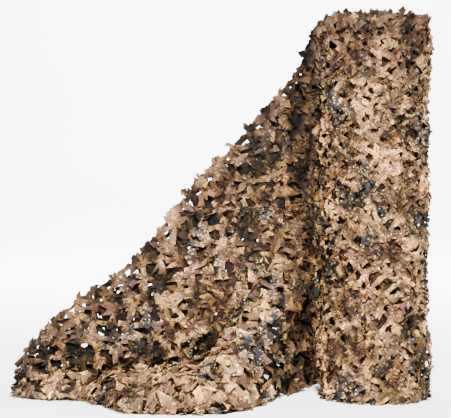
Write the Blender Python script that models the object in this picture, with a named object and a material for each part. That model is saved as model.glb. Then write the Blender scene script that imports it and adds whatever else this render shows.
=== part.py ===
"""A bulk roll of leaf-cut camouflage netting, standing on its end with its loose end drawn out over the floor.

The netting is one length of cloth, 1.5 m wide, that is die-cut all over with staggered slits. Pulled along its
length it opens into a lattice of zigzag bands, joined by short necks, with a pointed hole between them. Here it
is two solids that share one lattice:

    roll       the wound part, one solid, with the lattice of its outer turn in relief
    loose_end  the free length, one 3 mm sheet with the holes cut through: it leaves the back of the roll, hangs
               in a slope, and comes down to the floor in a crease, a pile and a turned-under edge

Metres, +Z up. The origin is the centre of the roll's foot, on the floor. The loose end runs towards -X, and its
pile lies towards -Y.
"""

import math
from typing import NamedTuple

import bmesh
import bpy
import numpy as np

# ---------------------------------------------------------------- driving sizes
CLOTH_WIDTH = 1.50
ROLL_RADIUS = 0.205
ROLL_TAPER = 0.006
ROLL_LUMP = 0.002
SHEET_THICKNESS = 0.003
FLOOR_GAP = 0.0016

# The lattice, at twice the pitch of the real cut. Holes lie across the cloth; each column of them is shifted by
# half a hole from the last. A hole and its neck are four quads long: three open ones and one that is the neck.
QUADS_PER_HOLE = 4
HOLES_ACROSS = 13
LOOSE_COLUMNS = 17
ROLL_COLUMNS = 14
NECK_SHARE = 0.12
OPEN_TIGHT = 0.13
OPEN_PULLED = 0.25
LOUVRE = 0.006

# The roll's relief: its leaves stand off by their louvre, its holes are sunk, and its upper rim is ragged.
ROLL_LOUVRE = 0.007
ROLL_HOLE_DEPTH = 0.015
ROLL_RIM_DROP = 0.012

# The wound turns that show at the top of the roll.
TURN_PITCH = 0.050
TURN_RELIEF = 0.007


class Section(NamedTuple):
    """One section across the loose end, from its upper selvedge down to its lower one.

    The cloth hangs from the top to a lip, drops by `dip` into the crease below it, rises over a crest, and runs
    down to its front edge on the floor, which is `swell` high. There it turns under for the length `tuck`.
    """

    top_x: float
    top_y: float
    top_z: float
    lip_y: float
    lip_z: float
    dip: float
    crest_y: float
    crest_z: float
    edge_x: float
    edge_y: float
    swell: float
    tuck: float


SECTIONS = (
    #        top x    y      z       lip y  z      dip    crest y z      edge x   y      swell  tuck
    Section(-0.094, 0.201, 1.484, 0.201, 0.800, 0.000, 0.201, 0.500, -0.094, 0.201, 0.006, 0.002),
    Section(-0.224, 0.165, 1.444, 0.140, 0.750, 0.000, 0.130, 0.450, -0.217, 0.190, 0.050, 0.020),
    Section(-0.268, 0.135, 1.316, 0.105, 0.680, 0.004, 0.075, 0.400, -0.274, 0.090, 0.070, 0.040),
    Section(-0.345, 0.105, 1.219, 0.055, 0.590, 0.012, -0.010, 0.350, -0.345, -0.040, 0.090, 0.070),
    Section(-0.445, 0.100, 1.100, 0.010, 0.470, 0.026, -0.085, 0.320, -0.442, -0.235, 0.100, 0.110),
    Section(-0.565, 0.120, 0.967, -0.020, 0.330, 0.045, -0.130, 0.235, -0.575, -0.400, 0.100, 0.160),
    Section(-0.702, 0.150, 0.830, -0.010, 0.205, 0.085, -0.120, 0.160, -0.737, -0.430, 0.085, 0.210),
    Section(-0.842, 0.180, 0.641, 0.020, 0.150, 0.110, -0.070, 0.128, -0.872, -0.405, 0.075, 0.230),
    Section(-0.962, 0.200, 0.509, 0.040, 0.138, 0.112, -0.050, 0.118, -0.987, -0.365, 0.070, 0.220),
    Section(-1.044, 0.210, 0.442, 0.052, 0.130, 0.108, -0.040, 0.112, -1.034, -0.300, 0.065, 0.200),
    Section(-1.110, 0.215, 0.391, 0.060, 0.125, 0.105, -0.028, 0.104, -1.102, -0.165, 0.060, 0.130),
    Section(-1.222, 0.212, 0.321, 0.068, 0.112, 0.084, -0.018, 0.096, -1.215, -0.140, 0.060, 0.130),
    Section(-1.327, 0.198, 0.206, 0.070, 0.088, 0.056, -0.012, 0.076, -1.322, -0.108, 0.050, 0.120),
    Section(-1.398, 0.192, 0.128, 0.070, 0.072, 0.036, -0.008, 0.062, -1.390, -0.082, 0.044, 0.080),
    Section(-1.440, 0.190, 0.080, 0.070, 0.060, 0.012, -0.004, 0.052, -1.432, -0.055, 0.040, 0.050),
)


class Fold(NamedTuple):
    """One soft fold along a straight run in shares (u, v): a ridge, or a trough if its height is negative."""

    u0: float
    v0: float
    u1: float
    v1: float
    width: float
    height: float


FOLDS = (
    #     u0    v0    u1    v1   width  height
    Fold(0.05, 0.25, 0.40, 0.48, 0.060, 0.012),
    Fold(0.10, 0.50, 0.24, 0.85, 0.050, 0.018),
    Fold(0.16, 0.86, 0.34, 0.62, 0.045, -0.014),
    Fold(0.30, 0.84, 0.46, 0.68, 0.050, 0.014),
    Fold(0.35, 0.10, 0.78, 0.30, 0.060, 0.012),
    Fold(0.58, 0.72, 0.80, 0.60, 0.045, 0.012),
)


# ---------------------------------------------------------------- curves
def b_spline(points, count):
    """A clamped uniform cubic B-spline through the control polygon, read at `count` even parameters."""
    control = np.array([points[0], points[0], *points, points[-1], points[-1]], float)
    spans = len(control) - 3
    at = np.linspace(0.0, spans - 1e-9, count)
    i = at.astype(int)
    t = (at - i)[:, None]
    a, b, c, d = (control[i + k] for k in range(4))
    first = (1 - t) ** 3 * a + (3 * t**3 - 6 * t**2 + 4) * b
    return (first + (-3 * t**3 + 3 * t**2 + 3 * t + 1) * c + t**3 * d) / 6


def along(line):
    """The length of a polyline up to each of its points."""
    steps = np.linalg.norm(np.diff(line, axis=0), axis=1)
    return np.concatenate([[0.0], np.cumsum(steps)])


def evenly(line, count):
    """The polyline again, as `count` points at even distances."""
    length = along(line)
    at = np.linspace(0.0, length[-1], count)
    return np.stack([np.interp(at, length, line[:, k]) for k in range(3)], axis=1)


def smooth_step(value):
    """0 below 0, 1 above 1, and a smooth rise between."""
    t = np.clip(value, 0.0, 1.0)
    return t * t * (3 - 2 * t)


def section_line(row, count):
    """The cloth's line across one section, from the upper selvedge to the end of the turned-under edge."""
    floor = FLOOR_GAP
    crease_z = row.lip_z - row.dip
    profile = [(row.top_y, row.top_z)]
    for share in (0.25, 0.5, 0.75):
        sag = 0.02 * math.sin(math.pi * share)
        y = row.top_y + (row.lip_y - row.top_y) * share + sag
        profile.append((y, row.top_z + (row.lip_z - row.top_z) * share))
    back_y = row.lip_y + 0.30 * row.dip
    front_y = row.lip_y - 0.15 * row.dip
    profile.append((row.lip_y, row.lip_z + 0.15 * row.dip))
    profile.append((row.lip_y, row.lip_z - 0.15 * row.dip))
    profile.append((back_y, row.lip_z - 0.55 * row.dip))
    profile.append((back_y, crease_z))
    profile.append((front_y, crease_z))
    profile.append((front_y + (row.crest_y - front_y) * 0.6, crease_z + (row.crest_z - crease_z) * 0.6))
    profile.append((row.crest_y, row.crest_z))
    crest_run = row.edge_y + 0.3 * row.swell - row.crest_y
    for share in (0.35, 0.7):
        bulge = 0.06 * abs(crest_run) * math.sin(math.pi * share)
        fall = row.swell - row.crest_z
        profile.append((row.crest_y + crest_run * share, row.crest_z + fall * share + bulge))
    profile.append((row.edge_y + 0.15 * row.swell, row.swell))
    profile.append((row.edge_y, 0.45 * row.swell))
    profile.append((row.edge_y + 0.25 * row.swell, floor))
    profile.append((row.edge_y + 0.5 * row.tuck, floor))
    profile += [(row.edge_y + 0.8 * row.tuck, floor), (row.edge_y + row.tuck, floor)]
    last = len(profile) - 1
    points = [(row.top_x + (row.edge_x - row.top_x) * k / last, y, z) for k, (y, z) in enumerate(profile)]
    return evenly(b_spline(points, 200), count)


def hermite(values, knots, at):
    """A smooth curve through `values` at `knots`, along the first axis, read at each of `at`."""
    slopes = np.gradient(values, knots, axis=0)
    i = np.clip(np.searchsorted(knots, at, side="right") - 1, 0, len(knots) - 2)
    step = (knots[i + 1] - knots[i])[:, None, None]
    t = ((at - knots[i]) / (knots[i + 1] - knots[i]))[:, None, None]
    start = (2 * t**3 - 3 * t**2 + 1) * values[i] + (t**3 - 2 * t**2 + t) * step * slopes[i]
    return start + (-2 * t**3 + 3 * t**2) * values[i + 1] + (t**3 - t**2) * step * slopes[i + 1]


# ---------------------------------------------------------------- the draped surface
def fold_height(u, v, length):
    """How far all the folds together lift the cloth at (u, v), both in shares of the loose end."""
    total = np.zeros(np.broadcast(u, v).shape)
    for fold in FOLDS:
        start = np.array([fold.u0 * length, fold.v0 * CLOTH_WIDTH])
        run = np.array([fold.u1 * length, fold.v1 * CLOTH_WIDTH]) - start
        du = u * length - start[0]
        dv = v * CLOTH_WIDTH - start[1]
        share = np.clip((du * run[0] + dv * run[1]) / (run @ run), 0.0, 1.0)
        away = np.hypot(du - share * run[0], dv - share * run[1])
        swell = 0.3 + 0.7 * np.sin(math.pi * share) ** 2
        total += fold.height * swell * np.exp(-((away / fold.width) ** 2))
    return total


class Drape:
    """The loose end's middle surface: a fine grid of points that any share (u, v) of the cloth is read from."""

    ACROSS = 241
    ALONG = 241

    def __init__(self):
        lines = np.array([section_line(row, self.ACROSS) for row in SECTIONS])
        middle = along(lines[:, self.ACROSS // 2])
        u = np.linspace(0.0, 1.0, self.ALONG)
        v = np.linspace(0.0, 1.0, self.ACROSS)
        base = hermite(lines, middle / middle[-1], u)
        lift = fold_height(u[:, None], v[None, :], middle[-1])
        self.points = base + self.normals_of(base) * lift[..., None]
        self.normals = self.normals_of(self.points)
        # How flat the cloth lies: 1 on open cloth, falling to 0 where it turns sharply across its width.
        reach = self.ACROSS // 40
        padded = np.pad(self.normals, ((0, 0), (reach, reach), (0, 0)), mode="edge")
        agree = np.sum(padded[:, 2 * reach :] * padded[:, : -2 * reach], axis=-1)
        self.flatness = smooth_step((agree - 0.1) / 0.7)[..., None]

    @staticmethod
    def normals_of(points):
        """Unit normals of a grid of points, on the side that faces forwards and up."""
        du = np.gradient(points, axis=0)
        dv = np.gradient(points, axis=1)
        normal = np.cross(du, dv)
        return normal / np.maximum(np.linalg.norm(normal, axis=-1, keepdims=True), 1e-12)

    def read(self, grid, u, v):
        """A grid of points or normals, read between its rows at shares (u, v)."""
        x = np.clip(u, 0.0, 1.0) * (self.ALONG - 1)
        y = np.clip(v, 0.0, 1.0) * (self.ACROSS - 1)
        i = np.minimum(x.astype(int), self.ALONG - 2)
        j = np.minimum(y.astype(int), self.ACROSS - 2)
        s = (x - i)[..., None]
        t = (y - j)[..., None]
        near = grid[i, j] * (1 - t) + grid[i, j + 1] * t
        far = grid[i + 1, j] * (1 - t) + grid[i + 1, j + 1] * t
        return near * (1 - s) + far * s

    def at(self, u, v, lift):
        """Points at shares (u, v), lifted off the middle surface along its normal, and never under the floor."""
        points = self.read(self.points, u, v) + self.read(self.normals, u, v) * lift[..., None]
        points[..., 2] = np.maximum(points[..., 2], FLOOR_GAP)
        return points


# ---------------------------------------------------------------- the lattice
def is_neck(column, quad):
    """Whether the quad at this place in a column of holes is left standing, as a neck or at a selvedge."""
    at_selvedge = quad in (0, QUADS_PER_HOLE * HOLES_ACROSS - 1)
    return at_selvedge or (quad + 2 * (column % 2)) % QUADS_PER_HOLE == 0


def gape(column, across):
    """1 where the edge of a hole column stands open, 0 at its necks, at each of the points across the cloth."""
    phase = (across + 2 * (column % 2)) % QUADS_PER_HOLE
    return np.where(phase >= 2, 1.0, 0.0)


def pulled(u, v):
    """How far the lattice is pulled open at shares (u, v) of the loose end: most along its hanging upper band."""
    upper = smooth_step((0.42 - v) / 0.30)
    near_roll = smooth_step(u / 0.15)
    return OPEN_TIGHT + (OPEN_PULLED - OPEN_TIGHT) * upper * near_roll


# ---------------------------------------------------------------- meshes
def new_object(name, points, faces, colour):
    """A mesh object of the given points and faces, with its own material and outward faces."""
    mesh = bpy.data.meshes.new(name)
    mesh.from_pydata(points, [], faces)
    shape = bmesh.new()
    shape.from_mesh(mesh)
    loose = [vertex for vertex in shape.verts if not vertex.link_faces]
    bmesh.ops.delete(shape, geom=loose, context="VERTS")
    bmesh.ops.recalc_face_normals(shape, faces=shape.faces)
    shape.to_mesh(mesh)
    shape.free()
    item = bpy.data.objects.new(name, mesh)
    bpy.context.scene.collection.objects.link(item)
    material = bpy.data.materials.new(name)
    material.use_nodes = True
    shader = material.node_tree.nodes["Principled BSDF"]
    shader.inputs["Base Color"].default_value = colour
    shader.inputs["Roughness"].default_value = 0.85
    mesh.materials.append(material)
    return item


def make_loose_end():
    """The free length: one sheet on the drape, cut through by the columns of holes."""
    drape = Drape()
    across = np.arange(QUADS_PER_HOLE * HOLES_ACROSS + 1)
    v = across / across[-1]
    pitch = 1.0 / (LOOSE_COLUMNS + 1)
    lines = []
    for column in range(-1, LOOSE_COLUMNS + 1):
        # The two edges of one column of holes; the first and last have only the edge that ends the cloth.
        inner = 0 <= column < LOOSE_COLUMNS
        centre = np.full(len(v), (column + 1) * pitch - (0.5 if inner else 0.0) * NECK_SHARE * pitch)
        opening = gape(column, across) * inner
        half = (0.5 * NECK_SHARE + pulled(centre, v) * opening) * pitch
        louvre = LOUVRE * opening * smooth_step(centre / 0.15) * smooth_step((0.95 - v) / 0.12)
        louvre *= 1.0 - 0.9 * smooth_step((centre - 0.7) / 0.25)
        for side, ends in ((-1, -1), (1, LOOSE_COLUMNS)):
            if column != ends:
                u = centre + side * half * inner
                flatness = drape.read(drape.flatness, u, v)[..., 0]
                lines.append(drape.at(u, v, flatness * side * louvre))
    points = np.concatenate(lines)
    faces = []
    wide = len(v)
    for row in range(len(lines) - 1):
        for quad in range(wide - 1):
            if row % 2 == 0 or is_neck(row // 2, quad):
                corner = row * wide + quad
                faces.append((corner, corner + wide, corner + wide + 1, corner + 1))
    sheet = new_object("loose_end", points.tolist(), faces, (0.42, 0.28, 0.17, 1.0))
    thicken = sheet.modifiers.new("thickness", "SOLIDIFY")
    thicken.thickness = SHEET_THICKNESS
    thicken.offset = 0.0
    return sheet


def roll_radius(angle, height):
    """The radius of the roll's outer turn, a little wider at its foot and softly uneven."""
    foot = 1.0 - height / CLOTH_WIDTH
    lump = math.sin(2 * angle + 5.0 * height) + math.sin(3 * angle - 3.1 * height + 1.0)
    return ROLL_RADIUS + ROLL_TAPER * foot + 0.5 * ROLL_LUMP * lump


def roll_wall():
    """Rings of points round the roll from floor to top: its outer turn, with the holes of the lattice sunk in."""
    across = np.arange(QUADS_PER_HOLE * HOLES_ACROSS + 1)
    height = across / across[-1] * CLOTH_WIDTH
    pitch = 2 * math.pi / ROLL_COLUMNS
    middle = np.clip(np.minimum(across, across[-1] - across), 0, 1)
    lines = []
    for column in range(ROLL_COLUMNS):
        opening = gape(column, across) * middle
        for side in (-1, 0, 1):
            angle = column * pitch + side * (0.5 * NECK_SHARE + OPEN_TIGHT * opening) * pitch
            radius = np.array([roll_radius(a, z) for a, z in zip(angle, height)])
            radius += ROLL_LOUVRE * side * opening
            radius -= ROLL_HOLE_DEPTH * (side == 0) * opening
            ragged = 0.5 + 0.5 * np.sin(5 * angle + 1.0) * np.cos(11 * angle)
            level = height - ROLL_RIM_DROP * ragged * (across == across[-1])
            lines.append(np.stack([radius * np.cos(angle), radius * np.sin(angle), level], axis=1))
    return np.stack(lines, axis=1)


def make_roll():
    """The wound part: one closed body, flat at its foot, with its main turns as a spiral ridge on top."""
    rings = [ring for ring in roll_wall()]
    rim = rings[-1]
    angle = np.arctan2(rim[:, 1], rim[:, 0]) % (2 * math.pi)
    steps = int(ROLL_RADIUS / (0.5 * TURN_PITCH))
    for step in range(1, steps):
        share = 1.0 - step / steps
        radius = np.hypot(rim[:, 0], rim[:, 1]) * share
        turn = (radius / TURN_PITCH + angle / (2 * math.pi)) % 1.0
        ridge = 1.0 - np.abs(2 * turn - 1.0)
        drop = TURN_RELIEF * (1.0 - ridge) * 2
        rings.append(np.stack([radius * np.cos(angle), radius * np.sin(angle), CLOTH_WIDTH - drop], axis=1))
    points = np.concatenate(rings).tolist()
    wide = len(rim)
    faces = []
    for row in range(len(rings) - 1):
        for step in range(wide):
            after = (step + 1) % wide
            corner = row * wide
            faces.append((corner + step, corner + after, corner + wide + after, corner + wide + step))
    last = (len(rings) - 1) * wide
    faces.append(tuple(last + step for step in range(wide)))
    faces.append(tuple(reversed(range(wide))))
    return new_object("roll", points, faces, (0.42, 0.28, 0.17, 1.0))


def main():
    """Clear the scene and build both solids."""
    for item in list(bpy.data.objects):
        bpy.data.objects.remove(item)
    make_roll()
    make_loose_end()


main()
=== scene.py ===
"""Dresses the standing roll of leaf-cut camouflage netting and its loose end.

The netting is one cloth, die-cut all over. Pulled open, it is a staggered lattice: each crossing is tied to
its four neighbours by webs, and a pointed leaf stands free between each two webs. Every piece but the body
inside the roll, which is painted dark as shade, is cut from that one lattice and laid on a surface: the
plies of the free length on its drape, and the turns of the roll on a spiral.

Cloth coordinates are metres: `across` runs down from the upper selvedge, and `along` towards the free end.
Columns of crossings are counted from where the cloth leaves the roll, and the wound part has those below 0.
"""

import logging
import math
from dataclasses import dataclass
from enum import Enum, IntEnum
from typing import Any, Callable, NamedTuple

import bmesh
import bpy
import numpy as np
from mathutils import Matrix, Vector


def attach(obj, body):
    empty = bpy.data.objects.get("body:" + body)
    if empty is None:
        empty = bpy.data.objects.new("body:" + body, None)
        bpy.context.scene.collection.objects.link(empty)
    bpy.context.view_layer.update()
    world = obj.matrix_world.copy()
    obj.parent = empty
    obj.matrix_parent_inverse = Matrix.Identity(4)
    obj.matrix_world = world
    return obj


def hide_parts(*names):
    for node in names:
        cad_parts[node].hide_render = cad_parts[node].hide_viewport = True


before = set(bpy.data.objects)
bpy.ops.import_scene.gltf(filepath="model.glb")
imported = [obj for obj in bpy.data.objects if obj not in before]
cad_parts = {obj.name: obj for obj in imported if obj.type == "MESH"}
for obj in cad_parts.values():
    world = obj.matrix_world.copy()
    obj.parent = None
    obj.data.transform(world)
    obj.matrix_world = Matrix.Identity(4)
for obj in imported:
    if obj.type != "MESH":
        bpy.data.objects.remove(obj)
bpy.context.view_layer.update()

Array = np.ndarray
Place = tuple[float, float, float]
Socket = bpy.types.NodeSocket
LOG = logging.getLogger("netting")

CLOTH_WIDTH = 1.50
FLOOR_CLEAR = 0.0006
MERGE_WITHIN = 3e-5
NOISE_TABLE = (97, 89)
CHANCE_TABLE = (101, 103)


# ------------------------------------------------------------------ small tools
def ease(value: Array) -> Array:
    """A smooth step: 0 below 0, 1 above 1, and 3t^2 - 2t^3 between."""
    t = np.clip(value, 0.0, 1.0)
    return t * t * (3.0 - 2.0 * t)


class Ramp(NamedTuple):
    """A smooth step up from 0 to 1, which sets out at `start` and takes `over`."""

    start: float
    over: float | Array

    def at(self, value: Array) -> Array:
        """The step's height at each value."""
        return ease((value - self.start) / self.over)


def soft_noise(x: Array, y: Array, seed: int) -> Array:
    """Smooth noise from -1 to 1: random values at whole-number places, eased between along both axes.

    Args:
        x: Places along the first axis, in cells of the noise.
        y: Places along the second axis, in cells of the noise.
        seed: Which table of random values to use.

    Returns:
        The noise at each place.
    """
    table = np.random.default_rng(seed).uniform(-1.0, 1.0, NOISE_TABLE)
    rows, columns = NOISE_TABLE
    i = np.floor(x).astype(int)
    j = np.floor(y).astype(int)
    s = ease(x - i)
    t = ease(y - j)
    near = table[i % rows, j % columns] * (1 - t) + table[i % rows, (j + 1) % columns] * t
    far = table[(i + 1) % rows, j % columns] * (1 - t) + table[(i + 1) % rows, (j + 1) % columns] * t
    return near * (1 - s) + far * s


def creased_noise(x: Array, y: Array, seed: int) -> Array:
    """Noise with sharp ridges, from -1 to 1: one less twice the size of smooth noise, at two scales.

    Args:
        x: Places along the first axis, in cells of the coarse noise.
        y: Places along the second axis, in the same cells.
        seed: Which table of random values to use. The fine noise uses the next.

    Returns:
        The noise at each place.
    """
    finer = 2.1
    aside = (7.3, -3.7)
    coarse_share = 0.7
    coarse = 1.0 - 2.0 * np.abs(soft_noise(x, y, seed))
    fine = 1.0 - 2.0 * np.abs(soft_noise(finer * x + aside[0], finer * y + aside[1], seed + 1))
    return coarse_share * coarse + (1.0 - coarse_share) * fine


def chance(i: Array, j: Array, seed: int) -> Array:
    """A random number from 0 to 1 for each pair of whole numbers, the same each time.

    Args:
        i: The first number of each pair.
        j: The second number of each pair.
        seed: Which table of random values to use.

    Returns:
        The random numbers.
    """
    table = np.random.default_rng(seed).random(CHANCE_TABLE)
    rows, columns = CHANCE_TABLE
    return table[i % rows, j % columns]


def along_line(line: Array) -> Array:
    """The length of a polyline up to each of its points, as running sums of its steps."""
    steps = np.linalg.norm(np.diff(line, axis=0), axis=1)
    return np.concatenate([[0.0], np.cumsum(steps)])


def cloth_mesh(
    name: str, points: Array, quads: Array, cloth: Array, marks: dict[str, Array]
) -> bpy.types.Object:
    """Makes a flat-shaded cloth object from whole arrays, with its doubles merged.

    Args:
        name: The object's name.
        points: Its points in the row frame, one row each.
        quads: Its faces, as rows of four point numbers.
        cloth: The cloth coordinates (across, along) of each point, kept as the UV map "cloth".
        marks: Further values at each point, kept as attributes by name.

    Returns:
        The linked object.
    """
    used, flat = np.unique(quads, return_inverse=True)
    quads = flat.reshape(-1, 4)
    points, cloth = points[used], cloth[used]
    mesh = bpy.data.meshes.new(name)
    mesh.vertices.add(len(points))
    mesh.vertices.foreach_set("co", points.astype(np.float32).ravel())
    mesh.loops.add(quads.size)
    mesh.loops.foreach_set("vertex_index", quads.astype(np.int32).ravel())
    mesh.polygons.add(len(quads))
    mesh.polygons.foreach_set("loop_start", np.arange(0, quads.size, 4, dtype=np.int32))
    mesh.update(calc_edges=True)
    layer = mesh.uv_layers.new(name="cloth")
    layer.data.foreach_set("uv", cloth[quads.ravel()].astype(np.float32).ravel())
    for mark, values in marks.items():
        layer = mesh.attributes.new(mark, "FLOAT", "POINT")
        layer.data.foreach_set("value", values.ravel()[used].astype(np.float32))
    shape = bmesh.new()
    shape.from_mesh(mesh)
    bmesh.ops.remove_doubles(shape, verts=shape.verts, dist=MERGE_WITHIN)
    shape.to_mesh(mesh)
    shape.free()
    mesh.shade_flat()
    item = bpy.data.objects.new(name, mesh)
    bpy.context.scene.collection.objects.link(item)
    return item


def grid_quads(rows: int, columns: int) -> Array:
    """The quads of a grid of points.

    Args:
        rows: How many rows of points it has.
        columns: How many points a row has.

    Returns:
        The quads, as rows of four point numbers.
    """
    number = np.arange(rows * columns).reshape(rows, columns)
    corners = (number[:-1, :-1], number[1:, :-1], number[1:, 1:], number[:-1, 1:])
    return np.stack(corners, axis=-1).reshape(-1, 4)


# ------------------------------------------------------------------ the surfaces
class Section(NamedTuple):
    """One section across the loose end, from its upper selvedge down to its lower one, in metres.

    The cloth hangs from the top to a lip, drops by `dip` into the crease below it, rises over a crest, and
    runs down to its front edge on the floor, which is `swell` high. There it turns under by `tuck`.
    """

    top_x: float
    top_y: float
    top_z: float
    lip_y: float
    lip_z: float
    dip: float
    crest_y: float
    crest_z: float
    edge_x: float
    edge_y: float
    swell: float
    tuck: float


SECTIONS = (
    #        top x    y      z       lip y  z      dip    crest y z      edge x   y      swell  tuck
    Section(-0.094, 0.201, 1.484, 0.201, 0.800, 0.000, 0.201, 0.500, -0.094, 0.201, 0.006, 0.002),
    Section(-0.224, 0.165, 1.444, 0.140, 0.750, 0.000, 0.130, 0.450, -0.217, 0.190, 0.050, 0.020),
    Section(-0.268, 0.135, 1.316, 0.105, 0.680, 0.004, 0.075, 0.400, -0.274, 0.090, 0.070, 0.040),
    Section(-0.345, 0.105, 1.219, 0.055, 0.590, 0.012, -0.010, 0.350, -0.345, -0.040, 0.090, 0.070),
    Section(-0.445, 0.100, 1.100, 0.010, 0.470, 0.026, -0.085, 0.320, -0.442, -0.235, 0.100, 0.110),
    Section(-0.565, 0.120, 0.967, -0.020, 0.330, 0.045, -0.130, 0.235, -0.575, -0.400, 0.100, 0.160),
    Section(-0.702, 0.150, 0.830, -0.010, 0.205, 0.085, -0.120, 0.160, -0.737, -0.430, 0.085, 0.210),
    Section(-0.842, 0.180, 0.641, 0.020, 0.150, 0.110, -0.070, 0.128, -0.872, -0.405, 0.075, 0.230),
    Section(-0.962, 0.200, 0.509, 0.040, 0.138, 0.112, -0.050, 0.118, -0.987, -0.365, 0.070, 0.220),
    Section(-1.044, 0.210, 0.442, 0.052, 0.130, 0.108, -0.040, 0.112, -1.034, -0.300, 0.065, 0.200),
    Section(-1.110, 0.215, 0.391, 0.060, 0.125, 0.105, -0.028, 0.104, -1.102, -0.165, 0.060, 0.130),
    Section(-1.222, 0.212, 0.321, 0.068, 0.112, 0.084, -0.018, 0.096, -1.215, -0.140, 0.060, 0.130),
    Section(-1.327, 0.198, 0.206, 0.070, 0.088, 0.056, -0.012, 0.076, -1.322, -0.108, 0.050, 0.120),
    Section(-1.398, 0.192, 0.128, 0.070, 0.072, 0.036, -0.008, 0.062, -1.390, -0.082, 0.044, 0.080),
    Section(-1.440, 0.190, 0.080, 0.070, 0.060, 0.012, -0.004, 0.052, -1.432, -0.055, 0.040, 0.050),
)


class Fold(NamedTuple):
    """One soft fold along a straight run in shares (u, v): a ridge, or a trough if its height is negative."""

    u0: float
    v0: float
    u1: float
    v1: float
    width: float
    height: float


FOLDS = (
    #     u0    v0    u1    v1   width  height
    Fold(0.05, 0.25, 0.40, 0.48, 0.060, 0.012),
    Fold(0.10, 0.50, 0.24, 0.85, 0.050, 0.018),
    Fold(0.16, 0.86, 0.34, 0.62, 0.045, -0.014),
    Fold(0.30, 0.84, 0.46, 0.68, 0.050, 0.014),
    Fold(0.35, 0.10, 0.78, 0.30, 0.060, 0.012),
    Fold(0.58, 0.72, 0.80, 0.60, 0.045, 0.012),
)


class Surface:
    """What the cloth is laid on, level and fully open: it turns columns and metres across into places."""

    def pitch(self, column: Array, across: Array) -> Array:
        """How far apart the columns are pulled there, square to them, in metres."""
        raise NotImplementedError

    def lit(self, column: Array, across: Array) -> Array:
        """The share of the light that reaches there."""
        raise NotImplementedError

    def place(self, column: Array, across: Array, lift: Array) -> Array:
        """The places, lifted off the surface by so many metres."""
        raise NotImplementedError

    def slant(self, column: Array, across: Array) -> Array:
        """How far a row runs down the columns from one column to the next, in metres."""
        return 0.0 * (column + across)

    def drift(self, across: Array) -> Array:
        """How many columns a line drawn square to the rows has slipped by at that depth."""
        return 0.0 * across

    def opened(self, column: Array, across: Array) -> Array:
        """How far the cut is pulled open there, from 0 to 1."""
        return 1.0 + 0.0 * (column + across)

    def inside(self, column: Array, across: Array) -> Array:
        """Whether the cloth reaches there."""
        return np.ones(np.broadcast(column, across).shape, bool)


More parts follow.
